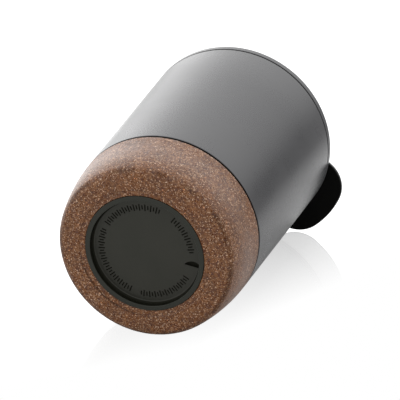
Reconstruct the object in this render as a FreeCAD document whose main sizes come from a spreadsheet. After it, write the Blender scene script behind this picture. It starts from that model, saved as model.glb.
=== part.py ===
"""A double-walled travel cup with a cork boot and a push-in lid, as a parametric document.

The cup stands upright on its foot: +Z is up, the origin is the centre of the foot's resting plane,
and the lid's thumb tab points along +X. All sizes are in millimetres and all angles in degrees.
"""
import FreeCAD, Part
import math
import os
import Sketcher

SIZES = {
    # the cup's outside, a straight taper from the seam up to the rim
    "cup_height": 120.0,
    "rim_radius": 42.0,
    "shell_top": 116.35,
    "seam_radius": 39.45,
    "seam_height": 24.75,
    "seam_gap": 1.15,
    "shell_wall": 1.6,
    "spigot_radius": 34.8,
    "edge_break": 0.3,
    "fit_gap": 0.05,
    # the cork boot
    "foot_radius": 33.0,
    "foot_step": 0.35,
    "foot_step_radius": 27.2,
    "boot_corner": 3.5,
    "boot_turn_radius": 36.4,
    "boot_turn_height": 2.7,
    "boot_bow": 107.6,
    "boot_floor": 6.0,
    "boot_opening": 24.8,
    # the base cap and its washer
    "cap_bottom": 0.05,
    "cap_radius": 24.65,
    "cap_rim": 2.0,
    "cap_recess": 2.8,
    "cap_edge": 0.2,
    "recess_corner": 1.2,
    "cap_plate": 1.6,
    "plug_radius": 20.9,
    "plug_wall": 1.5,
    "plug_top": 9.4,
    "floor_opening": 21.0,
    "snap_bead": 0.35,
    "washer_radius": 23.9,
    # the wedge slot and the tick marks in the cap's recess
    "slot_angle": -27.6,
    "slot_inner": 16.1,
    "slot_outer": 22.2,
    "slot_side": 0.8,
    "slot_tip": 0.7,
    "slot_mouth": 0.65,
    "slot_bow": 4.3,
    "slot_depth": 1.0,
    "tick_radius": 18.75,
    "tick_long": 2.8,
    "tick_short": 1.8,
    "tick_width": 0.55,
    "tick_depth": 0.3,
    "tick_pitch": 3.6,
    # the rim ring and its seal
    "rim_gap": 0.75,
    "rim_gap_depth": 1.2,
    "rim_round": 0.5,
    "skirt_bottom": 109.0,
    "lip_seat_radius": 40.6,
    "lip_seat_height": 119.2,
    "lip_seat_chamfer": 0.9,
    "seal_bottom": 112.0,
    "seal_height": 2.0,
    "seal_depth": 1.25,
    "seal_round": 0.5,
    # the steel liner
    "liner_radius": 38.0,
    "liner_wall": 0.6,
    "liner_straight_bottom": 104.0,
    "liner_foot_radius": 31.2,
    "liner_floor": 12.0,
    "liner_corner": 8.4,
    "lip_bend": 0.6,
    "lip_edge": 0.2,
    # the lid
    "flange_radius": 40.4,
    "flange_thickness": 1.8,
    "flange_round": 0.7,
    "plug_skirt_radius": 36.2,
    "plug_skirt_bottom": 108.0,
    "gasket_seat_radius": 34.6,
    "gasket_seat_height": 109.5,
    "recess_radius": 33.0,
    "deck_top": 116.0,
    "deck_thickness": 2.0,
    "recess_round": 1.2,
    # the lid's thumb tab
    "tab_root": 34.0,
    "tab_reach": 51.9,
    "tab_half_width": 19.25,
    "tab_bow": 39.0,
    "tab_corner": 13.5,
    "tab_blend": 1.5,
    "tab_edge": 0.6,
    "rib_height": 0.5,
    "rib_width": 1.0,
    "rib_pitch": 2.4,
    "rib_half_length": 9.0,
    # the gasket's sealing lips
    "gasket_body": 36.4,
    "gasket_top": 119.5,
    "gasket_clearance": 0.06,
    "gasket_lip_first": 110.8,
    "gasket_lip_pitch": 3.6,
    "gasket_lip_rise": 1.2,
    "gasket_lip_tip": 0.5,
    "gasket_lip_root": 1.5,
    # the drinking hole, the vent and the slider's rails
    "drink_centre": 26.2,
    "drink_half_length": 6.2,
    "drink_half_width": 2.8,
    "vent_centre": 22.0,
    "vent_radius": 0.9,
    "vent_half_length": 1.8,
    "rail_start": -28.0,
    "rail_end": 3.0,
    "rail_web": 2.0,
    "rail_lip": 1.0,
    "rail_round": 0.4,
    "small_round": 0.25,
    "stop_start": 1.2,
    "stop_length": 1.4,
    "stop_height": 1.2,
    # the slider and its seal
    "slider_end_gap": 1.4,
    "slider_inner_end": -12.0,
    "slider_half_width": 8.2,
    "slider_wing": 2.0,
    "slider_wing_height": 1.2,
    "slider_height": 2.5,
    "slider_side_gap": 0.15,
    "grip_outer_end": -23.0,
    "grip_inner_end": -15.0,
    "grip_half_width": 5.5,
    "grip_height": 2.2,
    "grip_round": 0.8,
    "slider_corner": 1.0,
    "groove_width": 0.8,
    "groove_depth": 0.5,
    "groove_overrun": 1.0,
    "pad_margin": 1.0,
    "pad_height": 1.3,
    "pad_clearance": 0.03,
}

# the groups of tick marks: the angle where each begins and how many pairs of marks it holds
TICK_GROUPS = ((74.8, 13), (175.0, 11), (270.1, 7), (-7.6, 10))
PAIRS_STEP = 2
SEAL_LIPS = 2
TAB_RIBS = 3
GRIP_GROOVES = 3

# how close two places are when they count as the same, and how far round a hole its edge is looked for
TOUCH = 1e-4
NEARBY = 1.0


class Size:
    """A length that carries its value and the spreadsheet formula it comes from."""

    def __init__(self, value, formula):
        self.value = value
        self.formula = formula

    def __add__(self, other):
        return join(self, other, self.value + number(other), "+")

    def __sub__(self, other):
        return join(self, other, self.value - number(other), "-")

    def __mul__(self, other):
        return join(self, other, self.value * number(other), "*")

    def __truediv__(self, other):
        return join(self, other, self.value / number(other), "/")

    def __neg__(self):
        return Size(-self.value, f"(-1 * {self.formula})")


def number(size):
    return size.value if isinstance(size, Size) else size


def formula(size):
    return size.formula if isinstance(size, Size) else str(size)


def join(first, second, value, sign):
    return Size(value, f"({formula(first)} {sign} {formula(second)})")


def root(size):
    return Size(math.sqrt(size.value), f"sqrt({size.formula})")


def across(radius, offset):
    """The distance along one axis of a point at this radius and at this offset on the other axis."""
    return root(radius * radius - offset * offset)


doc = FreeCAD.newDocument("travel_cup")
sheet = doc.addObject("Spreadsheet::Sheet", "Sizes")


class SheetSizes:
    """Every alias of the sheet as an attribute."""


size = SheetSizes()
for row, (alias, value) in enumerate(SIZES.items(), start=1):
    sheet.set(f"A{row}", alias)
    sheet.set(f"B{row}", str(value))
    sheet.setAlias(f"B{row}", alias)
    setattr(size, alias, Size(value, f"Sizes.{alias}"))
ZERO = Size(0.0, "0")
doc.recompute()

PIECES = []


# ---------------------------------------------------------------- tools for building the pieces


def new_piece(name):
    """An empty body whose label is the piece's name."""
    body = doc.addObject("PartDesign::Body", name)
    body.Label = name
    body.Placement = FreeCAD.Placement()
    PIECES.append(body)
    return body


def bind(thing, path, size):
    thing.setExpression(path, formula(size))


def origin_feature(body, role):
    return next(f for f in body.Origin.OriginFeatures if f.Role == role)


def new_sketch(body, name, role, height=ZERO, turn=ZERO):
    """A sketch on one of the body's planes, lifted to a height and turned about the plane's normal."""
    sketch = body.newObject("Sketcher::SketchObject", name)
    sketch.AttachmentSupport = [(origin_feature(body, role), "")]
    sketch.MapMode = "FlatFace"
    sketch.AttachmentOffset = FreeCAD.Placement(
        FreeCAD.Vector(0, 0, height.value),
        FreeCAD.Rotation(FreeCAD.Vector(0, 0, 1), turn.value),
    )
    if height is not ZERO:
        bind(sketch, "AttachmentOffset.Base.z", height)
    if turn is not ZERO:
        bind(sketch, "AttachmentOffset.Rotation.Angle", turn)
    return sketch


def add_stretch(sketch, start, end, bend):
    """Adds a line, or an arc if there is a bend, and returns it with the numbers of its two ends.

    A positive bend is the radius of an arc that turns left on its way, a negative one turns right."""
    first = FreeCAD.Vector(start[0].value, start[1].value, 0)
    last = FreeCAD.Vector(end[0].value, end[1].value, 0)
    if bend is None:
        return sketch.addGeometry(Part.LineSegment(first, last), False), 1, 2
    chord = last - first
    left = FreeCAD.Vector(-chord.y, chord.x, 0).normalize()
    reach = math.sqrt(bend.value**2 - chord.Length**2 / 4)
    centre = (first + last) * 0.5 + left * math.copysign(reach, bend.value)
    circle = Part.Circle(centre, FreeCAD.Vector(0, 0, 1), abs(bend.value))
    first_angle = math.atan2(first.y - centre.y, first.x - centre.x)
    last_angle = math.atan2(last.y - centre.y, last.x - centre.x)
    if bend.value > 0:
        arc, ends = Part.ArcOfCircle(circle, first_angle, last_angle), (1, 2)
    else:
        arc, ends = Part.ArcOfCircle(circle, last_angle, first_angle), (2, 1)
    index = sketch.addGeometry(arc, False)
    radius = sketch.addConstraint(Sketcher.Constraint("Radius", index, abs(bend.value)))
    bind(sketch, f"Constraints[{radius}]", bend if bend.value > 0 else -bend)
    return index, *ends


def add_outline(sketch, corners):
    """A closed outline. A corner is (x, y), or (x, y, bend) where an arc leaves it."""
    stretches = []
    for place, corner in enumerate(corners):
        following = corners[(place + 1) % len(corners)]
        bend = corner[2] if len(corner) == 3 else None
        stretches.append(add_stretch(sketch, corner, following, bend))
    for place, (index, start, end) in enumerate(stretches):
        after, after_start, _ = stretches[(place + 1) % len(stretches)]
        sketch.addConstraint(Sketcher.Constraint("Coincident", index, end, after, after_start))
        for kind, length in zip(("DistanceX", "DistanceY"), corners[place]):
            tie = Sketcher.Constraint(kind, -1, 1, index, start, length.value)
            bind(sketch, f"Constraints[{sketch.addConstraint(tie)}]", length)


def turned(body, corners):
    """Turns a section, given as (radius, height) corners, about the cup's axis."""
    sketch = new_sketch(body, "section", "XZ_Plane")
    add_outline(sketch, corners)
    feature = body.newObject("PartDesign::Revolution", "turned")
    feature.Profile = sketch
    feature.ReferenceAxis = (sketch, ["V_Axis"])
    feature.Angle = 360
    doc.recompute()


def padded(body, name, corners, bottom, thickness):
    """Raises a flat outline from a height by a thickness."""
    sketch = new_sketch(body, name + "_outline", "XY_Plane", bottom)
    add_outline(sketch, corners)
    feature = body.newObject("PartDesign::Pad", name)
    feature.Profile = sketch
    bind(feature, "Length", thickness)
    doc.recompute()
    return feature


def pocketed(body, name, outlines, face, depth, upward=False, turn=ZERO):
    """Cuts flat outlines into the body from a height, down or up, and makes sure that it cut."""
    before = body.Shape.Volume
    sketch = new_sketch(body, name + "_outline", "XY_Plane", face, turn)
    for corners in outlines:
        add_outline(sketch, corners)
    feature = body.newObject("PartDesign::Pocket", name)
    feature.Profile = sketch
    feature.Reversed = upward
    bind(feature, "Length", depth)
    doc.recompute()
    if body.Shape.Volume >= before - TOUCH:
        raise ValueError(f"{name} of {body.Label} cuts nothing")
    return feature


def repeated_round(body, name, feature, angle, count):
    """Repeats a feature about the cup's axis over an angle."""
    pattern = body.newObject("PartDesign::PolarPattern", name)
    pattern.Originals = [feature]
    pattern.Axis = (origin_feature(body, "Z_Axis"), [""])
    bind(pattern, "Angle", angle)
    pattern.Occurrences = count
    body.Tip = pattern
    doc.recompute()


def mirrored(body, name, features):
    """Mirrors features across the plane that holds the axis and the tab."""
    mirror = body.newObject("PartDesign::Mirrored", name)
    mirror.Originals = features
    mirror.MirrorPlane = (origin_feature(body, "XZ_Plane"), [""])
    body.Tip = mirror
    doc.recompute()


def ring_edge(radius, height):
    """A test for a circular edge about the cup's axis."""

    def matches(edge):
        box = edge.BoundBox
        level = abs(box.ZMin - height.value) < TOUCH and abs(box.ZMax - height.value) < TOUCH
        points = edge.discretize(3)
        return level and all(abs(math.hypot(p.x, p.y) - radius.value) < TOUCH for p in points)

    return matches


def level_edge(height, low_x, high_x, most_y, least_radius=ZERO):
    """A test for a level edge at a height, in a span of X and Y and beyond a radius."""

    def matches(edge):
        box = edge.BoundBox
        level = abs(box.ZMin - height.value) < TOUCH and abs(box.ZMax - height.value) < TOUCH
        points = edge.discretize(3)
        far = all(math.hypot(p.x, p.y) > least_radius.value for p in points)
        near = all(
            low_x.value - TOUCH <= p.x <= high_x.value + TOUCH and abs(p.y) <= most_y.value + TOUCH
            for p in points
        )
        return level and far and near

    return matches


def upright_edge(x, y):
    """A test for a straight upright edge at a place, on either side of the XZ plane."""

    def matches(edge):
        points = edge.discretize(3)
        return all(abs(p.x - x.value) < TOUCH and abs(abs(p.y) - y.value) < TOUCH for p in points)

    return matches


def dressed(body, kind, name, tests):
    """A fillet or chamfer on the edges that pass any of the tests."""
    base = body.Tip
    edges = base.Shape.Edges
    chosen = [f"Edge{n}" for n, edge in enumerate(edges, start=1) if any(test(edge) for test in tests)]
    if len(chosen) < len(tests):
        raise ValueError(f"{name} of {body.Label} finds too few edges")
    feature = body.newObject(kind, name)
    feature.Base = (base, chosen)
    return feature


def rounded(body, name, radius, *tests):
    feature = dressed(body, "PartDesign::Fillet", name, tests)
    bind(feature, "Radius", radius)
    doc.recompute()


def chamfered(body, name, length, *tests):
    feature = dressed(body, "PartDesign::Chamfer", name, tests)
    bind(feature, "Size", length)
    doc.recompute()


def rectangle(low_x, high_x, low_y, high_y):
    return [(low_x, low_y), (high_x, low_y), (high_x, high_y), (low_x, high_y)]


def obround(centre_x, half_width, half_length):
    """A slot with round ends: narrow along X, long along Y, in eight stretches."""
    straight = half_length - half_width
    left, right = centre_x - half_width, centre_x + half_width
    return [
        (right, -straight),
        (right, straight, half_width),
        (centre_x, half_length, half_width),
        (left, straight),
        (left, -straight, half_width),
        (centre_x, -half_length, half_width),
    ]


# ---------------------------------------------------------------- places that several pieces share


def shell_outside(height):
    """The outer radius of the tapered wall at a height."""
    taper = (size.rim_radius - size.seam_radius) / (size.shell_top - size.seam_height)
    return size.rim_radius - taper * (size.shell_top - height)


def shell_inside(height):
    return shell_outside(height) - size.shell_wall


shoulder = size.seam_height + size.seam_gap
band_bottom = size.shell_top + size.rim_gap
cap_plate_bottom = size.cap_bottom + size.cap_recess
cap_plate_top = cap_plate_bottom + size.cap_plate
ring_bore = size.liner_radius + size.fit_gap
liner_bore = size.liner_radius - size.liner_wall
lid_seat = size.cup_height + size.fit_gap
lid_top = lid_seat + size.flange_thickness
slider_bottom = size.deck_top + size.fit_gap
slider_top = slider_bottom + size.slider_height
slider_wing_edge = size.slider_half_width + size.slider_wing
slider_reach = size.recess_radius - size.slider_end_gap
pad_outer_end = -size.drink_centre - size.drink_half_width - size.pad_margin
pad_inner_end = -size.drink_centre + size.drink_half_width + size.pad_margin
pad_half_length = size.drink_half_length + size.pad_margin


# ---------------------------------------------------------------- the cup


def make_cork_base():
    """The moulded cork boot: a flat foot ring, a round corner and a bowed wall up to the seam."""
    body = new_piece("cork_base")
    socket = size.spigot_radius + size.fit_gap
    turned(body, [
        (size.boot_opening, size.foot_step),
        (size.foot_step_radius, size.foot_step),
        (size.foot_step_radius, ZERO),
        (size.foot_radius, ZERO, size.boot_corner),
        (size.boot_turn_radius, size.boot_turn_height, size.boot_bow),
        (size.seam_radius, size.seam_height),
        (socket, size.seam_height),
        (socket, size.boot_floor),
        (size.boot_opening, size.boot_floor),
    ])
    rounded(body, "top_edge", size.edge_break, ring_edge(size.seam_radius, size.seam_height))


def make_outer_shell():
    """The tapered shell, stepped in to a spigot that the boot fits round, with a floor flange."""
    body = new_piece("outer_shell")
    inner_shoulder = shoulder + size.shell_wall
    floor_top = size.boot_floor + size.shell_wall
    turned(body, [
        (shell_outside(shoulder), shoulder),
        (size.rim_radius, size.shell_top),
        (shell_inside(size.shell_top), size.shell_top),
        (shell_inside(inner_shoulder), inner_shoulder),
        (size.spigot_radius - size.shell_wall, inner_shoulder),
        (size.spigot_radius - size.shell_wall, floor_top),
        (size.floor_opening, floor_top),
        (size.floor_opening, size.boot_floor),
        (size.spigot_radius, size.boot_floor),
        (size.spigot_radius, shoulder),
    ])
    rounded(
        body, "outer_edges", size.edge_break,
        ring_edge(shell_outside(shoulder), shoulder),
        ring_edge(size.rim_radius, size.shell_top),
        ring_edge(size.spigot_radius, size.boot_floor),
    )


def tick_outline(length, sideways):
    """A bar that points at the axis, in the middle of the ring of marks, shifted sideways."""
    half_width = size.tick_width / 2
    return rectangle(
        size.tick_radius - length / 2, size.tick_radius + length / 2,
        sideways - half_width, sideways + half_width,
    )


def make_base_cap():
    """The recessed cap with a flush rim, a plug that snaps into the shell's floor, and its marks."""
    body = new_piece("base_cap")
    recess_radius = size.cap_radius - size.cap_rim
    plug_bore = size.plug_radius - size.plug_wall
    bead_bottom = size.boot_floor + size.shell_wall + size.fit_gap
    bead_top = bead_bottom + size.snap_bead * 2
    turned(body, [
        (ZERO, cap_plate_bottom),
        (recess_radius, cap_plate_bottom),
        (recess_radius, size.cap_bottom),
        (size.cap_radius, size.cap_bottom),
        (size.cap_radius, cap_plate_top),
        (size.plug_radius, cap_plate_top),
        (size.plug_radius, bead_bottom),
        (size.plug_radius + size.snap_bead, bead_bottom),
        (size.plug_radius + size.snap_bead, bead_bottom + size.snap_bead),
        (size.plug_radius, bead_top),
        (size.plug_radius, size.plug_top),
        (plug_bore, size.plug_top),
        (plug_bore, cap_plate_top),
        (ZERO, cap_plate_top),
    ])
    rounded(
        body, "rim_edges", size.cap_edge,
        ring_edge(recess_radius, size.cap_bottom),
        ring_edge(size.cap_radius, size.cap_bottom),
    )
    rounded(body, "recess_foot", size.recess_corner, ring_edge(recess_radius, cap_plate_bottom))
    wedge = [
        (size.slot_inner, size.slot_tip, size.slot_bow),
        (size.slot_outer, -size.slot_mouth),
        (size.slot_outer, size.slot_side),
        (size.slot_inner, size.slot_side),
    ]
    pocketed(
        body, "slot", [wedge], cap_plate_bottom - size.recess_corner,
        size.slot_depth + size.recess_corner, upward=True, turn=size.slot_angle,
    )
    half_step = Size(math.sin(math.radians(size.tick_pitch.value)), "sin(Sizes.tick_pitch * 1deg)")
    pair = [
        tick_outline(size.tick_long, ZERO),
        tick_outline(size.tick_short, size.tick_radius * half_step),
    ]
    for group, (start, pairs) in enumerate(TICK_GROUPS):
        angle = Size(start, str(start))
        marks = pocketed(
            body, f"ticks_{group}", pair, cap_plate_bottom, size.tick_depth, upward=True, turn=angle
        )
        spread = size.tick_pitch * (PAIRS_STEP * (pairs - 1))
        repeated_round(body, f"tick_ring_{group}", marks, spread, pairs)


def make_base_seal():
    """The flat washer between the cap's plate and the shell's floor."""
    body = new_piece("base_seal")
    inner = size.floor_opening + size.fit_gap
    turned(body, [
        (inner, cap_plate_top),
        (size.washer_radius, cap_plate_top),
        (size.washer_radius, size.boot_floor),
        (inner, size.boot_floor),
    ])


def make_rim_ring():
    """The band at the mouth, with a skirt inside the shell, a seat for the liner's lip and a groove."""
    body = new_piece("rim_ring")
    rest_radius = size.rim_radius - size.rim_gap_depth
    groove = ring_bore + size.seal_depth
    seal_top = size.seal_bottom + size.seal_height
    turned(body, [
        (shell_outside(band_bottom), band_bottom),
        (shell_outside(size.cup_height), size.cup_height),
        (size.lip_seat_radius, size.cup_height),
        (size.lip_seat_radius, size.lip_seat_height),
        (ring_bore, size.lip_seat_height),
        (ring_bore, seal_top),
        (groove, seal_top),
        (groove, size.seal_bottom),
        (ring_bore, size.seal_bottom),
        (ring_bore, size.skirt_bottom),
        (shell_inside(size.skirt_bottom) - size.fit_gap, size.skirt_bottom),
        (shell_inside(size.shell_top) - size.fit_gap, size.shell_top),
        (rest_radius, size.shell_top),
        (rest_radius, band_bottom),
    ])
    rounded(
        body, "mouth_edge", size.rim_round,
        ring_edge(shell_outside(size.cup_height), size.cup_height),
    )
    rounded(body, "gap_edge", size.edge_break, ring_edge(shell_outside(band_bottom), band_bottom))
    chamfered(
        body, "lip_clearance", size.lip_seat_chamfer, ring_edge(ring_bore, size.lip_seat_height)
    )


def make_rim_seal():
    """The silicone ring in the rim ring's groove, which bears on the liner."""
    body = new_piece("rim_seal")
    outer = ring_bore + size.seal_depth - size.fit_gap / 2
    inner = size.liner_radius + size.fit_gap / 2
    top = size.seal_bottom + size.seal_height - size.fit_gap
    turned(body, [(inner, size.seal_bottom), (outer, size.seal_bottom), (outer, top), (inner, top)])
    rounded(
        body, "bearing_edges", size.seal_round,
        ring_edge(inner, size.seal_bottom),
        ring_edge(inner, top),
    )


def make_inner_cup():
    """The drawn steel liner: a lip turned out over the rim ring, a short straight mouth and a taper."""
    body = new_piece("inner_cup")
    lip_top = size.lip_seat_height + size.liner_wall
    lip_radius = size.lip_seat_radius - size.fit_gap
    underside = size.liner_floor - size.liner_wall
    foot_bore = size.liner_foot_radius - size.liner_wall
    turned(body, [
        (ZERO, underside),
        (size.liner_foot_radius, underside),
        (size.liner_radius, size.liner_straight_bottom),
        (size.liner_radius, size.lip_seat_height),
        (lip_radius, size.lip_seat_height),
        (lip_radius, lip_top),
        (liner_bore, lip_top),
        (liner_bore, size.liner_straight_bottom),
        (foot_bore, size.liner_floor),
        (ZERO, size.liner_floor),
    ])
    rounded(
        body, "outer_foot", size.liner_corner + size.liner_wall,
        ring_edge(size.liner_foot_radius, underside),
    )
    rounded(body, "inner_foot", size.liner_corner, ring_edge(foot_bore, size.liner_floor))
    rounded(
        body, "lip_inside", size.lip_bend + size.liner_wall, ring_edge(liner_bore, lip_top)
    )
    rounded(body, "lip_outside", size.lip_bend, ring_edge(size.liner_radius, size.lip_seat_height))
    rounded(
        body, "lip_edges", size.lip_edge,
        ring_edge(lip_radius, size.lip_seat_height),
        ring_edge(lip_radius, lip_top),
    )


# ---------------------------------------------------------------- the lid


def tab_outline():
    """The thumb tab: parallel sides, round corners and a bowed outer end, each running into the next."""
    bow_centre_x = size.tab_reach - size.tab_bow
    corner_centre_y = size.tab_half_width - size.tab_corner
    corner_offset_x = across(size.tab_bow - size.tab_corner, corner_centre_y)
    corner_centre_x = bow_centre_x + corner_offset_x
    scale = size.tab_bow / (size.tab_bow - size.tab_corner)
    meeting_x = bow_centre_x + corner_offset_x * scale
    meeting_y = corner_centre_y * scale
    return [
        (size.tab_root, -size.tab_half_width),
        (corner_centre_x, -size.tab_half_width, size.tab_corner),
        (meeting_x, -meeting_y, size.tab_bow),
        (meeting_x, meeting_y, size.tab_corner),
        (corner_centre_x, size.tab_half_width),
        (size.tab_root, size.tab_half_width),
    ]


def rib_outline(place):
    """A grip rib on the tab, concentric with the cup."""
    outer = size.tab_reach - size.rib_pitch * (place + 1)
    inner = outer - size.rib_width
    half = size.rib_half_length
    return [
        (across(inner, half), -half),
        (across(outer, half), -half, outer),
        (across(outer, half), half),
        (across(inner, half), half, -inner),
    ]


def add_rails(body):
    """Two hooked rails that hold the slider down, and the bar that stops it at the centre."""
    web_inside = slider_wing_edge + size.slider_side_gap
    web_outside = web_inside + size.rail_web
    lip_inside = size.slider_half_width + size.slider_side_gap * 2
    lip_bottom = slider_bottom + size.slider_wing_height + size.slider_side_gap
    web = padded(
        body, "rail_web", rectangle(size.rail_start, size.rail_end, web_inside, web_outside),
        size.deck_top, lip_bottom - size.deck_top,
    )
    lip = padded(
        body, "rail_lip", rectangle(size.rail_start, size.rail_end, lip_inside, web_outside),
        lip_bottom, size.rail_lip,
    )
    mirrored(body, "rails", [web, lip])
    stop_end = size.stop_start + size.stop_length
    padded(
        body, "stop",
        rectangle(size.stop_start, stop_end, -size.slider_half_width, size.slider_half_width),
        size.deck_top, size.stop_height,
    )
    rounded(
        body, "rail_edges", size.rail_round,
        level_edge(
            lip_bottom + size.rail_lip, size.rail_start, size.rail_end, web_outside
        ),
        level_edge(size.deck_top + size.stop_height, size.stop_start, stop_end, web_inside),
    )


def hole_edge(centre_x, half_width, half_length):
    """A test for the deck's edge round one of its holes."""
    low_x = centre_x - half_width - NEARBY
    high_x = centre_x + half_width + NEARBY
    return level_edge(size.deck_top, low_x, high_x, half_length + NEARBY)


def make_lid_body():
    """The push-in lid: a flange with a thumb tab, a plug below it and a sunken deck with its holes."""
    body = new_piece("lid_body")
    deck_bottom = size.deck_top - size.deck_thickness
    turned(body, [
        (ZERO, deck_bottom),
        (size.recess_radius, deck_bottom),
        (size.recess_radius, size.plug_skirt_bottom),
        (size.plug_skirt_radius, size.plug_skirt_bottom),
        (size.plug_skirt_radius, size.gasket_seat_height),
        (size.gasket_seat_radius, size.gasket_seat_height),
        (size.gasket_seat_radius, lid_seat),
        (size.flange_radius, lid_seat),
        (size.flange_radius, lid_top),
        (size.recess_radius, lid_top),
        (size.recess_radius, size.deck_top),
        (ZERO, size.deck_top),
    ])
    padded(body, "tab", tab_outline(), lid_seat, size.flange_thickness)
    side_x = across(size.flange_radius, size.tab_half_width)
    rounded(body, "tab_roots", size.tab_blend, upright_edge(side_x, size.tab_half_width))
    beyond_recess = size.recess_radius + size.flange_round
    everywhere = (-size.tab_reach, size.tab_reach, size.tab_reach)
    rounded(
        body, "upper_edges", size.flange_round, level_edge(lid_top, *everywhere, beyond_recess)
    )
    beyond_gasket = size.gasket_seat_radius + size.flange_round
    rounded(
        body, "lower_edges", size.tab_edge, level_edge(lid_seat, *everywhere, beyond_gasket)
    )
    rounded(
        body, "recess_edges", size.recess_round,
        ring_edge(size.recess_radius, lid_top),
        ring_edge(size.recess_radius, size.deck_top),
    )
    add_rails(body)
    for place in range(TAB_RIBS):
        padded(body, f"rib_{place}", rib_outline(place), lid_top, size.rib_height)
    rounded(
        body, "rib_edges", size.small_round,
        level_edge(lid_top + size.rib_height, size.flange_radius, size.tab_reach, size.tab_reach),
    )
    hole = obround(-size.drink_centre, size.drink_half_width, size.drink_half_length)
    pocketed(body, "drink_hole", [hole], size.deck_top, size.deck_thickness)
    vent = obround(size.vent_centre, size.vent_radius, size.vent_half_length)
    pocketed(body, "vent", [vent], size.deck_top, size.deck_thickness)
    rounded(
        body, "hole_edges", size.small_round,
        hole_edge(-size.drink_centre, size.drink_half_width, size.drink_half_length),
        hole_edge(size.vent_centre, size.vent_radius, size.vent_half_length),
    )


def make_lid_gasket():
    """The silicone ring round the plug, with sealing lips that lean up towards the mouth."""
    body = new_piece("lid_gasket")
    inner = size.gasket_seat_radius + size.fit_gap
    bottom = size.gasket_seat_height + size.fit_gap
    tip = liner_bore - size.gasket_clearance
    corners = [(inner, bottom), (size.gasket_body, bottom)]
    for place in range(SEAL_LIPS):
        start = size.gasket_lip_first + size.gasket_lip_pitch * place
        corners += [
            (size.gasket_body, start),
            (tip, start + size.gasket_lip_rise),
            (tip, start + size.gasket_lip_rise + size.gasket_lip_tip),
            (size.gasket_body, start + size.gasket_lip_root),
        ]
    corners += [(size.gasket_body, size.gasket_top), (inner, size.gasket_top)]
    turned(body, corners)


def slider_outline(half_width):
    """The slider's plan: a straight inner end, and an outer end that follows the recess wall."""
    end_x = -across(slider_reach, half_width)
    return [
        (size.slider_inner_end, -half_width),
        (size.slider_inner_end, half_width),
        (end_x, half_width, slider_reach),
        (end_x, -half_width),
    ]


def make_lid_slider():
    """The closure: a plate with two wings under the rails, a grooved grip and a pocket for the pad."""
    body = new_piece("lid_slider")
    padded(body, "wings", slider_outline(slider_wing_edge), slider_bottom, size.slider_wing_height)
    padded(
        body, "plate", slider_outline(size.slider_half_width),
        slider_bottom + size.slider_wing_height, size.slider_height - size.slider_wing_height,
    )
    padded(
        body, "grip",
        rectangle(
            size.grip_outer_end, size.grip_inner_end, -size.grip_half_width, size.grip_half_width
        ),
        slider_top, size.grip_height,
    )
    grip_top = slider_top + size.grip_height
    rounded(
        body, "corners", size.slider_corner,
        upright_edge(size.slider_inner_end, slider_wing_edge),
        upright_edge(size.slider_inner_end, size.slider_half_width),
        upright_edge(size.grip_inner_end, size.grip_half_width),
        upright_edge(size.grip_outer_end, size.grip_half_width),
    )
    rounded(
        body, "grip_edges", size.grip_round,
        level_edge(
            grip_top, size.grip_outer_end, size.grip_inner_end, size.grip_half_width
        ),
    )
    pitch = (size.grip_inner_end - size.grip_outer_end) / (GRIP_GROOVES + 1)
    grooves = []
    for place in range(1, GRIP_GROOVES + 1):
        centre = size.grip_outer_end + pitch * place
        grooves.append(rectangle(
            centre - size.groove_width / 2, centre + size.groove_width / 2,
            -size.grip_half_width - size.groove_overrun, size.grip_half_width + size.groove_overrun,
        ))
    pocketed(body, "grip_grooves", grooves, grip_top, size.groove_depth)
    pad = rectangle(pad_outer_end, pad_inner_end, -pad_half_length, pad_half_length)
    pocketed(body, "pad_pocket", [pad], slider_bottom, size.pad_height, upward=True)


def make_slider_seal():
    """The silicone pad in the slider's pocket, a hair below the slider so that it wipes the deck."""
    body = new_piece("slider_seal")
    inset = size.fit_gap
    bottom = size.deck_top + size.pad_clearance
    padded(
        body, "pad",
        rectangle(
            pad_outer_end + inset, pad_inner_end - inset,
            -pad_half_length + inset, pad_half_length - inset,
        ),
        bottom, size.pad_height,
    )


# ---------------------------------------------------------------- building and writing


make_cork_base()
make_outer_shell()
make_base_cap()
make_base_seal()
make_rim_ring()
make_rim_seal()
make_inner_cup()
make_lid_body()
make_lid_gasket()
make_lid_slider()
make_slider_seal()
doc.recompute()

for thing in doc.Objects:
    if "Invalid" in thing.State or "Error" in thing.State:
        raise ValueError(f"{thing.Label} did not build")
for piece in PIECES:
    if piece.Shape.isNull() or not piece.Shape.isValid():
        raise ValueError(f"{piece.Label} has no valid shape")

os.makedirs("parts", exist_ok=True)
for piece in PIECES:
    piece.Shape.exportStep(os.path.join("parts", piece.Label + ".step"))
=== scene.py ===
"""The travel cup's looks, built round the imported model.

The model stands upright in its own frame. The studio is built round it as if the cup lay on its side:
a pale floor touches the cup's wall, and every direction of the studio is worked out from that floor.
"""
import math
import bpy
from mathutils import Matrix, Vector, noise


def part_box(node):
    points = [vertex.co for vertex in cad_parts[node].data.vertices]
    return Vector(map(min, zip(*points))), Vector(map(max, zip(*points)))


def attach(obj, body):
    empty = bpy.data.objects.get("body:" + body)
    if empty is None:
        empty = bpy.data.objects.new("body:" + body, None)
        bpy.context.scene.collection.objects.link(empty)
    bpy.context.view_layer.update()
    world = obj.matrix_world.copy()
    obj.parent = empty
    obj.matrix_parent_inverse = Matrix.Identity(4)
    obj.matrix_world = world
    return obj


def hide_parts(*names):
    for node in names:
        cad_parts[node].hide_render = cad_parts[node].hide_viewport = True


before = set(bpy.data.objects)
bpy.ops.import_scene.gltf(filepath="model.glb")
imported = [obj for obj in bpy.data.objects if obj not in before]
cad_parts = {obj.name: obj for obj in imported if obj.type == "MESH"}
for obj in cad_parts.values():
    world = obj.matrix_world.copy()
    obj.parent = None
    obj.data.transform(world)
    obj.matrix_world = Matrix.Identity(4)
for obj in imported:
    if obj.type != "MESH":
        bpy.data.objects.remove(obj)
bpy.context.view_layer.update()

MM = 0.001

# ---------------------------------------------------------------- places read from the frame

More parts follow.
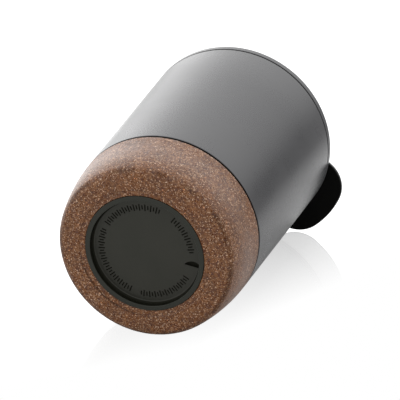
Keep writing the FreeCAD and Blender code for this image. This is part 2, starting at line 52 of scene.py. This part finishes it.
_, cork_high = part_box("cork_base")
_, shell_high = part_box("outer_shell")
_, ring_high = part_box("rim_ring")
cap_low, cap_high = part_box("base_cap")
seam_radius = cork_high.x
seam_height = cork_high.z
rim_radius = shell_high.x
wall_slope = (rim_radius - seam_radius) / (shell_high.z - seam_height)

# ---------------------------------------------------------------- the studio's directions

DOWN_ANGLE = math.radians(51.57)     # where round the cup it rests on the floor, from the tab
CAMERA_YAW = math.radians(19.22)     # between the cup's axis and the camera's heading
CAMERA_PITCH = math.radians(22.91)   # how far the camera looks down
CAMERA_ROLL = math.radians(1.72)     # clockwise, so its right side dips
CAMERA_DISTANCE = 0.9386             # in metres, from the middle of the picture
CAMERA_LENS = 216.0                  # in millimetres, on a sensor of this width
SENSOR_WIDTH = 36.0
AIM_RIGHT = 21.95 * MM               # from the centre of the foot to the middle of the picture
AIM_UP = 21.2 * MM

wall_tilt = math.atan(wall_slope)
toward_floor = Vector((
    math.cos(DOWN_ANGLE) * math.cos(wall_tilt),
    math.sin(DOWN_ANGLE) * math.cos(wall_tilt),
    -math.sin(wall_tilt),
))
studio_up = -toward_floor
floor_point = Vector((
    seam_radius * math.cos(DOWN_ANGLE),
    seam_radius * math.sin(DOWN_ANGLE),
    seam_height,
))
cup_axis = Vector((0.0, 0.0, 1.0))
axis_on_floor = (cup_axis - studio_up * cup_axis.dot(studio_up)).normalized()
studio_forward = Matrix.Rotation(CAMERA_YAW, 3, studio_up) @ axis_on_floor
studio_side = studio_forward.cross(studio_up)


def studio_way(azimuth, height):
    """A direction in the studio: azimuth from straight ahead to the right, height above the floor."""
    level = studio_forward * math.cos(azimuth) + studio_side * math.sin(azimuth)
    return level * math.cos(height) + studio_up * math.sin(height)


# ---------------------------------------------------------------- shader tools

NOISE_LOW = 0.3      # fractal noise keeps mostly between these two
NOISE_HIGH = 0.7


def feed(tree, node, inputs):
    """Sets a node's inputs, each to a value or to another node's output."""
    for name, value in inputs.items():
        if isinstance(value, bpy.types.NodeSocket):
            tree.links.new(value, node.inputs[name])
        else:
            node.inputs[name].default_value = value


def put(tree, kind, settings, inputs):
    """Adds a node with its own settings and its inputs."""
    node = tree.nodes.new(kind)
    for name, value in settings.items():
        setattr(node, name, value)
    feed(tree, node, inputs)
    return node


def calculate(tree, operation, first, second=0.0):
    return put(tree, "ShaderNodeMath", {"operation": operation}, {0: first, 1: second}).outputs[0]


def spread(tree, value, low, high, to_low=0.0, to_high=1.0):
    """Maps a span of values to another one, smoothly at both ends."""
    settings = {"interpolation_type": "SMOOTHSTEP"}
    inputs = {
        "Value": value, "From Min": low, "From Max": high, "To Min": to_low, "To Max": to_high
    }
    return put(tree, "ShaderNodeMapRange", settings, inputs).outputs["Result"]


def from_noise(tree, value, to_low=0.0, to_high=1.0):
    """Maps fractal noise to a span of values."""
    return spread(tree, value, NOISE_LOW, NOISE_HIGH, to_low, to_high)


def product(tree, first, *others):
    """Multiplies any number of values."""
    result = first
    for other in others:
        result = calculate(tree, "MULTIPLY", result, other)
    return result


def mix_colours(tree, factor, first, second):
    inputs = {0: factor, 6: first, 7: second}
    return put(tree, "ShaderNodeMix", {"data_type": "RGBA"}, inputs).outputs[2]


def mix_shaders(tree, factor, first, second):
    return put(tree, "ShaderNodeMixShader", {}, {0: factor, 1: first, 2: second}).outputs[0]


def colour(red, green, blue):
    return (red, green, blue, 1.0)


def grey(level):
    return colour(level, level, level)


def ramp(tree, factor, stops):
    """A colour ramp through (place, colour) stops."""
    node = put(tree, "ShaderNodeValToRGB", {}, {"Fac": factor})
    elements = node.color_ramp.elements
    while len(elements) < len(stops):
        elements.new(1.0)
    for element, (place, shade) in zip(elements, stops):
        element.position = place
        element.color = shade
    return node.outputs["Color"]


def vector_step(tree, operation, first, second):
    """A vector calculation; the second input is a vector, or the size of a scaling."""
    name = "Scale" if operation == "SCALE" else 1
    settings = {"operation": operation}
    return put(tree, "ShaderNodeVectorMath", settings, {0: first, name: second}).outputs[0]


def cloud(tree, place, size, detail=3.0):
    """Fractal noise whose largest features are about this size, as a value and a colour."""
    inputs = {"Vector": place, "Scale": 1.0 / size, "Detail": detail}
    return put(tree, "ShaderNodeTexNoise", {}, inputs).outputs


def cells(tree, place, size):
    """Cells of about this size, with three random values for each and the distance from its heart."""
    node = put(tree, "ShaderNodeTexVoronoi", {}, {"Vector": place, "Scale": 1.0 / size})
    values = put(tree, "ShaderNodeSeparateColor", {}, {"Color": node.outputs["Color"]}).outputs
    return values, node.outputs["Distance"]


def parts_of(tree, vector):
    return put(tree, "ShaderNodeSeparateXYZ", {}, {0: vector}).outputs


def along(tree, vector, axis):
    """How far a vector reaches along an axis."""
    settings = {"operation": "DOT_PRODUCT"}
    return put(tree, "ShaderNodeVectorMath", settings, {0: vector, 1: axis}).outputs["Value"]


def axis_distance(tree, place):
    """How far a point is from the cup's axis."""
    flat = vector_step(tree, "MULTIPLY", place, (1.0, 1.0, 0.0))
    return put(tree, "ShaderNodeVectorMath", {"operation": "LENGTH"}, {0: flat}).outputs["Value"]


def new_material(name):
    """An empty material with its Principled surface and the piece's own coordinates and normal."""
    material = bpy.data.materials.new(name)
    material.use_nodes = True
    tree = material.node_tree
    here = put(tree, "ShaderNodeTexCoord", {}, {}).outputs
    return material, tree, tree.nodes["Principled BSDF"], here["Object"], here["Normal"]


def from_camera(tree):
    """1 for what the camera sees directly, 0 for what lights or mirrors it."""
    return put(tree, "ShaderNodeLightPath", {}, {}).outputs["Is Camera Ray"]


def add_bump(tree, surface, height, depth):
    """Bump from a height, where a height of 1 stands out by this depth in metres."""
    bump = put(tree, "ShaderNodeBump", {}, {"Height": height, "Distance": depth})
    feed(tree, surface, {"Normal": bump.outputs["Normal"]})


# ---------------------------------------------------------------- materials


BINDER_GRAIN = 0.72 * MM       # patches of one brown
LIGHT_CRUMB = 0.32 * MM
DRIFT_SIZE = 0.8 * MM          # the wander that makes grains and crumbs irregular
DRIFT_REACH = 0.7 * MM
LIGHT_FROM = 0.84              # a crumb turns light as its random value goes from here to there
LIGHT_FULL = 0.94
PIT_FROM = 0.78                # and into a pit as its other random value does
PIT_FULL = 0.96
PIT_DEPTH = 0.8
PATCH_SIZE = 8.0 * MM          # broad patches, some paler than others
SEAM_SHADE = 0.15 * MM         # below the seam, painted shade: the dark edge in the gap to the shell
SEAM_SHADE_END = 0.35 * MM
POLISH_START = 2.0 * MM        # heights: the wall is polished, the foot and the seam aren't
POLISH_FULL = 12.0 * MM
POLISH_FADE = 14.0 * MM
POLISH_END = 24.0 * MM
WALL_POLISH = 0.6
SEAM_POLISH = 0.2              # what is left of it at the seam
CORK_RELIEF = 0.022 * MM


def cork_material():
    """Ground cork in a brown binder: fine irregular grains, with tan crumbs and a few orange ones.
    Painted shade darkens its top edge at the seam and a line along the foot's step.
    """
    material, tree, surface, place, _ = new_material("cork_composite")
    drift = vector_step(tree, "SUBTRACT", cloud(tree, place, DRIFT_SIZE, 2.0)["Color"], (0.5,) * 3)
    warped = vector_step(tree, "ADD", place, vector_step(tree, "SCALE", drift, DRIFT_REACH))
    grain, grain_distance = cells(tree, warped, BINDER_GRAIN)
    crumb, crumb_distance = cells(tree, warped, LIGHT_CRUMB)
    binder = ramp(tree, grain[0], (
        (0.0, colour(0.044, 0.0095, 0.0003)),
        (0.35, colour(0.072, 0.0205, 0.0010)),
        (0.75, colour(0.102, 0.034, 0.0045)),
        (1.0, colour(0.138, 0.058, 0.018)),
    ))
    light = ramp(tree, crumb[2], (
        (0.0, colour(0.225, 0.125, 0.066)),
        (0.7, colour(0.325, 0.213, 0.138)),
        (0.93, colour(0.37, 0.25, 0.172)),
        (1.0, colour(0.43, 0.15, 0.04)),
    ))
    with_light = mix_colours(tree, spread(tree, crumb[0], LIGHT_FROM, LIGHT_FULL), binder, light)
    pit = spread(tree, crumb[1], PIT_FROM, PIT_FULL, 0.0, PIT_DEPTH)
    with_dark = mix_colours(tree, pit, with_light, colour(0.048, 0.0115, 0.0004))
    patches = from_noise(tree, cloud(tree, place, PATCH_SIZE)["Fac"], 0.98, 1.25)
    height = parts_of(tree, place)["Z"]
    # painted shade: the cork's top edge is darker, and duller, in the gap under the shell
    painted_seam_shade = spread(
        tree, height, seam_height - SEAM_SHADE_END, seam_height - SEAM_SHADE, 1.0, 0.02
    )
    # a darker line round the foot's corner, and a painted shadow line along the step; they darken the
    # colour and the shine
    corner_line_and_step_shade = product(tree, corner_line(tree, place), step_shadow_line(tree, place))
    off_foot = spread(tree, height, POLISH_START, POLISH_FULL)
    below_seam = spread(tree, height, POLISH_FADE, POLISH_END, 1.0, SEAM_POLISH)
    shine = product(tree, spread(tree, pit, 0.0, 0.85, 0.44, 0.08), corner_line_and_step_shade)
    feed(tree, surface, {
        "Base Color": vector_step(tree, "SCALE", with_dark, product(tree, patches, painted_seam_shade, corner_line_and_step_shade)),
        "Roughness": spread(tree, crumb[1], 0.0, 1.0, 0.38, 0.52),
        "Specular IOR Level": product(tree, shine, painted_seam_shade),
        "Coat Weight": product(tree, off_foot, below_seam, WALL_POLISH),
        "Coat Roughness": 0.45,
    })
    relief = calculate(tree, "ADD", grain_distance, crumb_distance)
    add_bump(tree, surface, relief, CORK_RELIEF)
    return material


FOOT_TOP = 4.0 * MM            # height up to which the foot's lines are drawn
FOOT_FADE = 5.0 * MM           # and where they are gone
CORNER_INSET = 4.1 * MM        # the corner's line, in from the seam's radius
CORNER_REACH = 1.2 * MM        # from the middle of a line to where it is gone
CORNER_DEPTH = 0.35            # how much darker a line is
CORNER_BREAK = 12.0 * MM       # the length of its stretches
STEP_RADIUS = 27.2 * MM        # the foot's small step, inside which it doesn't touch the ground
# the painted shadow line along the step: how far it reaches, and how dark it is at most and at least
STEP_REACH = 0.5 * MM
STEP_DEPTH = 0.45
STEP_LEAST = 0.05


def foot_ring(tree, place, radius, reach, depth):
    """A darker ring on the foot, as a factor for the colour. The depth may change round the ring."""
    away = calculate(tree, "ABSOLUTE", calculate(tree, "SUBTRACT", axis_distance(tree, place), radius))
    line = spread(tree, away, reach * 0.2, reach, 1.0, 0.0)
    low = spread(tree, parts_of(tree, place)["Z"], FOOT_TOP, FOOT_FADE, 1.0, 0.0)
    return calculate(tree, "SUBTRACT", 1.0, product(tree, line, low, depth))


def corner_line(tree, place):
    """A darker line round the foot's corner. It comes and goes."""
    depth = spread(tree, cloud(tree, place, CORNER_BREAK)["Fac"], 0.38, 0.56, 0.0, CORNER_DEPTH)
    return foot_ring(tree, place, seam_radius - CORNER_INSET, CORNER_REACH, depth)


def step_shadow_line(tree, place):
    """A painted shadow line round the small step between the foot's resting ring and the cap, deepest on
    one side.
    """
    sideways = parts_of(tree, place)["Y"]
    depth = spread(tree, sideways, STEP_RADIUS * 0.70, STEP_RADIUS * 0.92, STEP_LEAST, STEP_DEPTH)
    return foot_ring(tree, place, STEP_RADIUS, STEP_REACH, depth)


SHELL_RELIEF = 0.002 * MM
PAINTED_LIGHT_FROM = 85.0 * MM       # above this height the shell is painted paler up to the mouth, a painted light
PAINTED_LIGHT_TO = 116.0 * MM
GAP_START = 0.12 * MM          # how far in from the wall the painted shade in a gap between pieces starts
GAP_DARK = 0.35 * MM
MOUTH_ROUND = 1.2 * MM         # the mouth's own rounded top isn't a gap


def shell_material():
    """Satin dark grey plastic with a fine moulded grain, painted light towards the mouth and painted
    shade in the gaps between pieces.
    """
    material, tree, surface, place, _ = new_material("satin_shell")
    broad = cloud(tree, place, 25.0 * MM)["Fac"]
    fine = cloud(tree, place, 0.25 * MM)["Fac"]
    dark_grey = colour(0.029, 0.029, 0.031)
    mid_grey = colour(0.034, 0.034, 0.036)
    painted_light_grey = colour(0.047, 0.047, 0.049)
    even = mix_colours(tree, from_noise(tree, broad), dark_grey, mid_grey)
    height = parts_of(tree, place)["Z"]
    # painted light: the shell grows paler towards the mouth
    face = mix_colours(tree, spread(tree, height, PAINTED_LIGHT_FROM, PAINTED_LIGHT_TO), even, painted_light_grey)
    above_rim = calculate(tree, "SUBTRACT", height, shell_high.z)
    wall = calculate(tree, "ADD", product(tree, above_rim, wall_slope), rim_radius)
    inward = calculate(tree, "SUBTRACT", wall, axis_distance(tree, place))
    mouth_round = ring_high.z - MOUTH_ROUND
    below_mouth = spread(tree, height, mouth_round - 0.1 * MM, mouth_round + 0.1 * MM, 1.0, 0.0)
    # painted shade: inside the gaps between pieces the shell is black and without shine
    painted_gap_shade = product(tree, spread(tree, inward, GAP_START, GAP_DARK), below_mouth)
    roughness = from_noise(tree, broad, 0.27, 0.31)
    grain = from_noise(tree, fine, -0.02, 0.02)
    feed(tree, surface, {
        "Base Color": mix_colours(tree, painted_gap_shade, face, grey(0.002)),
        "Roughness": calculate(tree, "ADD", roughness, grain),
        "Specular IOR Level": spread(tree, painted_gap_shade, 0.0, 1.0, 0.5, 0.0),
        "IOR": 1.5,
    })
    add_bump(tree, surface, fine, SHELL_RELIEF)
    return material


CAP_RECESS = 2.8 * MM          # from the cap's flush rim in to its floor
MOULDED_RELIEF = 0.006 * MM    # of the black plastic and the silicone


def cap_material():
    """Black moulded plastic, duller on the recess wall and in the slot and the marks."""
    material, tree, surface, place, _ = new_material("matte_cap")
    height = parts_of(tree, place)["Z"]
    rim = cap_low.z
    recess = rim + CAP_RECESS
    wall_top = spread(tree, height, rim + 0.1 * MM, rim + 0.4 * MM)
    wall_foot = spread(tree, height, recess - 0.22 * MM, recess - 0.01 * MM, 1.0, 0.0)
    wall = product(tree, wall_top, wall_foot)
    cut = spread(tree, height, recess + 0.02 * MM, recess + 0.15 * MM)
    dull = calculate(tree, "MAXIMUM", wall, cut)
    grain = cloud(tree, place, 0.18 * MM)["Fac"]
    broad = cloud(tree, place, 14.0 * MM)["Fac"]
    flush = spread(tree, height, rim, rim + 0.3 * MM, 1.0, 0.0)
    dark_floor = colour(0.0060, 0.0062, 0.0040)
    pale_floor = colour(0.0080, 0.0078, 0.0055)
    floor_colour = mix_colours(tree, from_noise(tree, broad), dark_floor, pale_floor)
    feed(tree, surface, {
        "Base Color": mix_colours(tree, flush, floor_colour, colour(0.0045, 0.0055, 0.0035)),
        "Roughness": from_noise(tree, grain, 0.40, 0.50),
        "Specular IOR Level": spread(tree, dull, 0.0, 1.0, 0.38, 0.03),
        "Specular Tint": colour(1.0, 1.0, 0.9),
    })
    add_bump(tree, surface, grain, MOULDED_RELIEF)
    return material


FAR_GLOW = 0.95                # painted light: what the cup's wall sees of the tab's far half
FLOOR_GLOW = 0.50              # painted light: what the floor sees of the lid's underside
NEAR_HALF = 1.2 * MM           # beyond the rim, where the tab's painted light starts for the wall
FAR_HALF = 7.5 * MM            # and where it glows in full


def underside_colour(tree, place):
    """Painted shade and painted light: black to the camera, and paler to the cup's wall and the floor.

    A ray that reaches the underside by way of the floor goes up, one by way of the wall goes down."""
    reach = calculate(tree, "SUBTRACT", axis_distance(tree, place), rim_radius)
    to_wall = spread(tree, reach, NEAR_HALF, FAR_HALF, 0.0, FAR_GLOW)
    back_along_ray = put(tree, "ShaderNodeNewGeometry", {}, {}).outputs["Incoming"]
    downward = spread(tree, along(tree, back_along_ray, studio_up), -0.1, 0.1)
    # painted light for the floor and the wall, painted shade for the camera
    to_others = mix_colours(tree, downward, grey(FLOOR_GLOW), to_wall)
    return mix_colours(tree, from_camera(tree), to_others, colour(0.0015, 0.0015, 0.0013))


def lid_material():
    """Black plastic: satin on top, dead matte underneath, where its colour is painted.

    To the camera all of the underside is painted black, a painted shade. To the cup's wall only its near
    half is;
    its far half is painted light, so that the tab's shadow in the wall's shine stays narrow, and the
    floor mirrors it as a painted pale grey."""
    material, tree, surface, place, normal = new_material("black_lid")
    grain = cloud(tree, place, 0.2 * MM)["Fac"]
    broad = cloud(tree, place, 12.0 * MM)["Fac"]
    under = spread(tree, parts_of(tree, normal)["Z"], -0.9, -0.2, 1.0, 0.0)
    satin = from_noise(tree, broad, 0.30, 0.38)
    feed(tree, surface, {
        "Base Color": mix_colours(tree, under, grey(0.010), underside_colour(tree, place)),
        "Roughness": calculate(tree, "MAXIMUM", satin, product(tree, under, 0.6)),
        "Specular IOR Level": spread(tree, under, 0.0, 1.0, 0.5, 0.06),
    })
    add_bump(tree, surface, grain, MOULDED_RELIEF)
    return material


BRUSHED_RELIEF = 0.003 * MM


def steel_material():
    """Drawn stainless steel, brushed round the axis: fine rings of changing roughness."""
    material, tree, surface, place, _ = new_material("brushed_liner")
    stretched = vector_step(tree, "MULTIPLY", place, (0.02, 0.02, 1.0))
    rings = cloud(tree, stretched, 0.12 * MM)["Fac"]
    tone = from_noise(tree, cloud(tree, place, 20.0 * MM)["Fac"])
    feed(tree, surface, {
        "Base Color": mix_colours(tree, tone, colour(0.56, 0.55, 0.54), colour(0.63, 0.62, 0.60)),
        "Metallic": 1.0,
        "Roughness": from_noise(tree, rings, 0.22, 0.36),
        "Anisotropic": 0.5,
    })
    add_bump(tree, surface, rings, BRUSHED_RELIEF)
    return material


def silicone_material():
    """Dull dark silicone with a fine grain."""
    material, tree, surface, place, _ = new_material("dull_silicone")
    grain = cloud(tree, place, 0.3 * MM)["Fac"]
    tone = from_noise(tree, cloud(tree, place, 8.0 * MM)["Fac"])
    feed(tree, surface, {
        "Base Color": mix_colours(tree, tone, grey(0.022), grey(0.032)),
        "Roughness": from_noise(tree, grain, 0.6, 0.75),
        "Sheen Weight": 0.1,
    })
    add_bump(tree, surface, grain, MOULDED_RELIEF)
    return material


# ---------------------------------------------------------------- the cork boot

# The outline is the CAD node's own: its cap opening, foot, corner, bowed wall and glued socket.
CAP_GAP = 0.15 * MM
STEP_HEIGHT = 0.35 * MM
FOOT_RADIUS = 33.0 * MM
CORNER_RADIUS = 3.5 * MM
WALL_START = (36.4 * MM, 2.7 * MM)
WALL_BOW = 107.6 * MM
SEAM_BREAK = 0.3 * MM
SOCKET_RADIUS = 34.85 * MM
SOCKET_FLOOR = 6.0 * MM
GRAIN_SPACING = 0.30 * MM      # between the points of the boot's outer skin
HIDDEN_SPACING = 3.0 * MM      # between the points of the faces inside the cup
GRANULE = 0.9 * MM
GRANULE_SEED = 1               # without a seed, the noise would start from the clock
GRANULE_RELIEF = 0.03 * MM
CRUMB = 0.6 * MM
CRUMB_RELIEF = 0.015 * MM


def arc_points(first, last, radius, spacing):
    """Points along an arc from first to last, bulging to the right of the way, without the last."""
    ax, ay = first
    bx, by = last
    chord = math.hypot(bx - ax, by - ay)
    back = math.sqrt(radius * radius - chord * chord / 4)
    centre_x = (ax + bx) / 2 - (by - ay) / chord * back
    centre_y = (ay + by) / 2 + (bx - ax) / chord * back
    turn = 2 * math.asin(chord / 2 / radius)
    start = math.atan2(ay - centre_y, ax - centre_x)
    count = max(1, round(turn * radius / spacing))
    return [
        (
            centre_x + radius * math.cos(start + turn * i / count),
            centre_y + radius * math.sin(start + turn * i / count),
        )
        for i in range(count)
    ]


def line_points(first, last, spacing):
    """Points along a line from first to last, without the last."""
    length = math.hypot(last[0] - first[0], last[1] - first[1])
    count = max(1, round(length / spacing))
    return [
        (
            first[0] + (last[0] - first[0]) * i / count,
            first[1] + (last[1] - first[1]) * i / count,
        )
        for i in range(count)
    ]


def granule_height(point):
    """How far the cork's skin stands out here: rounded granules with crumbs between them."""
    drift = noise.noise_vector(point / (2.5 * GRANULE)) * GRANULE * 0.5
    near, next_near = noise.voronoi((point + drift) / GRANULE)[0][:2]
    granule = min(1.0, (next_near - near) * 2.0) - 0.6
    crumb_near = noise.voronoi(point / CRUMB)[0][0]
    return granule * GRANULE_RELIEF + (0.5 - crumb_near) * CRUMB_RELIEF


def boot_outline():
    """The boot's section as (radius, height) points: what shows, then what the cup hides."""
    opening = cap_high.x + CAP_GAP
    wall_top = (seam_radius, seam_height - SEAM_BREAK)
    seam_edge = (seam_radius - SEAM_BREAK, seam_height)
    skin = []
    skin += line_points((opening, STEP_HEIGHT), (STEP_RADIUS, STEP_HEIGHT), GRAIN_SPACING)
    skin += line_points((STEP_RADIUS, STEP_HEIGHT), (STEP_RADIUS, 0.0), GRAIN_SPACING)
    skin += line_points((STEP_RADIUS, 0.0), (FOOT_RADIUS, 0.0), GRAIN_SPACING)
    skin += arc_points((FOOT_RADIUS, 0.0), WALL_START, CORNER_RADIUS, GRAIN_SPACING)
    skin += arc_points(WALL_START, wall_top, WALL_BOW, GRAIN_SPACING)
    skin += arc_points(wall_top, seam_edge, SEAM_BREAK, GRAIN_SPACING / 3)
    socket_mouth = (SOCKET_RADIUS, seam_height)
    socket_foot = (SOCKET_RADIUS, SOCKET_FLOOR)
    hidden = []
    hidden += line_points(seam_edge, socket_mouth, HIDDEN_SPACING)
    hidden += line_points(socket_mouth, socket_foot, HIDDEN_SPACING)
    hidden += line_points(socket_foot, (opening, SOCKET_FLOOR), HIDDEN_SPACING)
    hidden += line_points((opening, SOCKET_FLOOR), (opening, STEP_HEIGHT), HIDDEN_SPACING)
    return skin, hidden


def granulated_points(skin, hidden, around):
    """The outline turned about the axis in this many columns, with granules where it shows."""
    profile = skin + hidden
    points = []
    for row, (radius, height) in enumerate(profile):
        before = profile[row - 1]
        after = profile[(row + 1) % len(profile)]
        along_outline = Vector((after[0] - before[0], 0.0, after[1] - before[1])).normalized()
        exposed = 0 < row < len(skin)
        for column in range(around):
            angle = 2 * math.pi * column / around
            cosine = math.cos(angle)
            sine = math.sin(angle)
            point = Vector((radius * cosine, radius * sine, height))
            if exposed:
                outward = along_outline.z
                normal = Vector((outward * cosine, outward * sine, -along_outline.x))
                point += normal * granule_height(point)
            points.append(point)
    return points


def ring_faces(rows, around):
    """Four-sided faces between neighbouring rows, with the last row joined to the first."""
    faces = []
    for row in range(rows):
        this_row = row * around
        next_row = (row + 1) % rows * around
        for column in range(around):
            beside = (column + 1) % around
            faces.append((this_row + column, this_row + beside, next_row + beside, next_row + column))
    return faces


def make_cork_skin():
    """The cork boot turned as a fine skin with real granule relief, over the node's own outline."""
    noise.seed_set(GRANULE_SEED)
    skin, hidden = boot_outline()
    around = round(2 * math.pi * seam_radius / GRAIN_SPACING)
    points = granulated_points(skin, hidden, around)
    faces = ring_faces(len(skin + hidden), around)
    mesh = bpy.data.meshes.new("cork_skin")
    mesh.from_pydata(points, [], faces)
    mesh.polygons.foreach_set("use_smooth", [True] * len(faces))
    mesh.update()
    mesh.materials.append(cork_material())
    skin_object = bpy.data.objects.new("cork_skin", mesh)
    bpy.context.scene.collection.objects.link(skin_object)
    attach(skin_object, "cup")
    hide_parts("cork_base")


# ---------------------------------------------------------------- the CAD pieces' finishes


def finish_node(node, material):
    """Gives a CAD node its one material."""
    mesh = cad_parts[node].data
    mesh.materials.clear()
    mesh.materials.append(material)


def finish_nodes():
    shell = shell_material()
    cap = cap_material()
    lid = lid_material()
    silicone = silicone_material()
    finish_node("outer_shell", shell)
    finish_node("rim_ring", shell)
    finish_node("base_cap", cap)
    finish_node("inner_cup", steel_material())
    finish_node("lid_body", lid)
    finish_node("lid_slider", lid)
    for node in ("base_seal", "rim_seal", "lid_gasket", "slider_seal"):
        finish_node(node, silicone)


# ---------------------------------------------------------------- the studio


FLOOR_HALF = 0.55              # half the sheet's side, in metres
FLOOR_GAP = 0.02 * MM          # between the sheet and the cup's wall
FLOOR_ROUGHNESS = 0.05
CARD_TONE = 0.56               # of the card that lights the cup
FAR_CARD_TONE = 0.08           # of the same card under the dark patch
CARD_LIFT = 2.2                # how much paler it is under the glow
CARD_DIMS = (140.0 * MM, 340.0 * MM)    # where from the foot it dims, towards the patch
CARD_LIFTS = (60.0 * MM, 220.0 * MM)    # where from the foot it grows paler, towards the glow
MOST_GLOSS = 0.42
GLOSS_START = 5.0 * MM         # how far in front of the foot the reflection starts
GLOSS_RISE = 3.6               # its growth ahead, per metre
SIDE_LEAN = 0.5                # how much its fall to the right is turned back to the camera
CLEAR_OF_BODY = 21.0 * MM      # beside the foot, where it falls faster
SLOW_FALL = 1.8                # its fall to the right, per metre
FAST_FALL = 4.2                # what is added to the fall clear of the body
PATCH_AZIMUTH = math.radians(51.0)      # the dark patch, low on the right
PATCH_HEIGHT = math.radians(-2.0)
PATCH_REACH = math.radians(20.0)
GLOW_AZIMUTH = math.radians(-14.0)      # the glow, low and nearly straight ahead
GLOW_HEIGHT = math.radians(-3.0)
GLOW_REACH = math.radians(38.0)
GLOW_GAIN = 1.32
LIGHT_BEHIND = 1.3             # the strength of the light behind the camera
LIGHT_AHEAD = 2.1
LIGHT_BELOW = 0.65             # the share of it that comes from below the horizon


def make_floor():
    """A pale glossy sheet under the cup. Seen from below it isn't there, so it hides nothing."""
    drop = floor_point - studio_up * FLOOR_GAP
    across = studio_side * FLOOR_HALF
    ahead = studio_forward * FLOOR_HALF
    corners = [drop - across - ahead, drop + across - ahead, drop + across + ahead, drop - across + ahead]
    mesh = bpy.data.meshes.new("studio_floor")
    mesh.from_pydata(corners, [], [(0, 1, 2, 3)])
    mesh.update()
    mesh.materials.append(floor_material())
    floor = bpy.data.objects.new("studio_floor", mesh)
    bpy.context.scene.collection.objects.link(floor)


def floor_gloss(tree, from_foot):
    """How much of the floor is mirror: it grows ahead of the foot and fades to the right."""
    forward = along(tree, from_foot, studio_forward)
    beside = along(tree, from_foot, studio_side - studio_forward * SIDE_LEAN)
    outside = calculate(tree, "SUBTRACT", beside, CLEAR_OF_BODY)
    rising = product(tree, calculate(tree, "ADD", forward, GLOSS_START), GLOSS_RISE)
    slow = product(tree, outside, SLOW_FALL)
    fast = product(tree, calculate(tree, "MAXIMUM", outside, 0.0), FAST_FALL)
    share = calculate(tree, "SUBTRACT", rising, calculate(tree, "ADD", slow, fast))
    return calculate(tree, "MINIMUM", calculate(tree, "MAXIMUM", share, 0.0), MOST_GLOSS)


def card_tone(tree, from_foot):
    """The card's grey: dimmer far off towards the dark patch, paler far off towards the glow."""
    patch_side = along(tree, from_foot, studio_way(PATCH_AZIMUTH, 0.0))
    glow_side = along(tree, from_foot, studio_way(GLOW_AZIMUTH, 0.0))
    dimmed = spread(tree, patch_side, *CARD_DIMS, CARD_TONE, FAR_CARD_TONE)
    return product(tree, dimmed, spread(tree, glow_side, *CARD_LIFTS, 1.0, CARD_LIFT))


def floor_material():
    """White with a fading reflection to the camera, plain pale card to the cup, clear from below."""
    material = bpy.data.materials.new("studio_floor")
    material.use_nodes = True
    tree = material.node_tree
    tree.nodes.clear()
    under_foot = floor_point - axis_on_floor * seam_height
    place = put(tree, "ShaderNodeNewGeometry", {}, {}).outputs
    from_foot = vector_step(tree, "SUBTRACT", place["Position"], tuple(under_foot))
    mirror = {"Color": grey(1.0), "Roughness": FLOOR_ROUGHNESS}
    gloss = put(tree, "ShaderNodeBsdfGlossy", {}, mirror).outputs[0]
    white = put(tree, "ShaderNodeEmission", {}, {"Color": grey(1.0)}).outputs[0]
    card = put(tree, "ShaderNodeBsdfDiffuse", {}, {"Color": card_tone(tree, from_foot)}).outputs[0]
    clear = put(tree, "ShaderNodeBsdfTransparent", {}, {}).outputs[0]
    seen = mix_shaders(tree, floor_gloss(tree, from_foot), white, gloss)
    sheet = mix_shaders(tree, from_camera(tree), card, seen)
    both_sides = mix_shaders(tree, place["Backfacing"], sheet, clear)
    put(tree, "ShaderNodeOutputMaterial", {}, {"Surface": both_sides})
    return material


def make_light():
    """Soft light from all round, dimmer behind the camera, with one dark patch and one glow.

    The camera itself sees plain white."""
    world = bpy.data.worlds.new("studio_light")
    bpy.context.scene.world = world
    world.use_nodes = True
    tree = world.node_tree
    tree.nodes.clear()
    direction = put(tree, "ShaderNodeTexCoord", {}, {}).outputs["Generated"]
    ahead = along(tree, direction, studio_forward)
    above = along(tree, direction, studio_up)
    dome = spread(tree, ahead, -0.9, 0.2, LIGHT_BEHIND, LIGHT_AHEAD)
    horizon = spread(tree, above, -0.2, 0.2, LIGHT_BELOW, 1.0)
    toward_patch = along(tree, direction, studio_way(PATCH_AZIMUTH, PATCH_HEIGHT))
    off_patch = calculate(tree, "DIVIDE", calculate(tree, "ARCCOSINE", toward_patch), -PATCH_REACH)
    dim = calculate(tree, "SUBTRACT", 1.0, calculate(tree, "EXPONENT", off_patch))
    toward_glow = along(tree, direction, studio_way(GLOW_AZIMUTH, GLOW_HEIGHT))
    glow = spread(tree, toward_glow, math.cos(GLOW_REACH), 1.0, 1.0, GLOW_GAIN)
    lit = product(tree, dome, horizon, glow, dim)
    choice = {0: from_camera(tree), 2: lit, 3: 1.0}
    strength = put(tree, "ShaderNodeMix", {"data_type": "FLOAT"}, choice).outputs[0]
    glowing = {"Color": grey(1.0), "Strength": strength}
    background = put(tree, "ShaderNodeBackground", {}, glowing).outputs[0]
    put(tree, "ShaderNodeOutputWorld", {}, {"Surface": background})


def make_camera():
    """A long lens that looks down at the cup's foot, turned a little off the cup's axis.

    The aim is measured from the origin, which is the centre of the foot."""
    data = bpy.data.cameras.new("camera")
    data.lens = CAMERA_LENS
    data.sensor_width = SENSOR_WIDTH
    data.clip_start = 0.01
    data.clip_end = 10.0
    camera = bpy.data.objects.new("camera", data)
    bpy.context.scene.collection.objects.link(camera)
    bpy.context.scene.camera = camera
    camera_heading = studio_way(0.0, -CAMERA_PITCH)
    camera_right = Matrix.Rotation(CAMERA_ROLL, 3, camera_heading) @ studio_side
    camera_up = camera_right.cross(camera_heading)
    aim = camera_right * AIM_RIGHT + camera_up * AIM_UP
    place = aim - camera_heading * CAMERA_DISTANCE
    turn = Matrix((camera_right, camera_up, -camera_heading)).transposed().to_4x4()
    camera.matrix_world = Matrix.Translation(place) @ turn


make_cork_skin()
finish_nodes()
make_floor()
make_light()
make_camera()
bpy.context.scene.view_settings.view_transform = "Standard"
